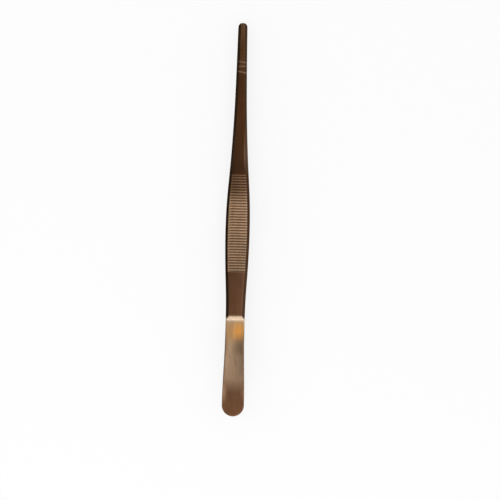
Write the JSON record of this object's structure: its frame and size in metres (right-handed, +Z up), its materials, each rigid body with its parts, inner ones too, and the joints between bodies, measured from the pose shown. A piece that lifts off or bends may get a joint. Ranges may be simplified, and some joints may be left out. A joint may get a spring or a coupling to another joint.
{
  "type": "thumb forceps",
  "caption": "Long slender thumb dressing forceps: sprung steel arms welded at a round butt, bevelled blades, cross-ribbed finger grips and blunt tips with cross teeth inside.",
  "frame": {"origin": "middle of the length and the width, on the surface that the forceps lies on, under the lower arm's grip", "axes": "+Y along the arms from the welded butt to the tips, +X across the arms, +Z up from the lower arm to the upper arm"},
  "size_m": [0.0122, 0.2, 0.0184],
  "materials": {
    "steel": "satin stainless spring steel with a warm brown tone and fine grain along the arms"
  },
  "bodies": {
    "root": {"upper_arm": "steel", "lower_arm": "steel"}
  },
  "joints": []
}
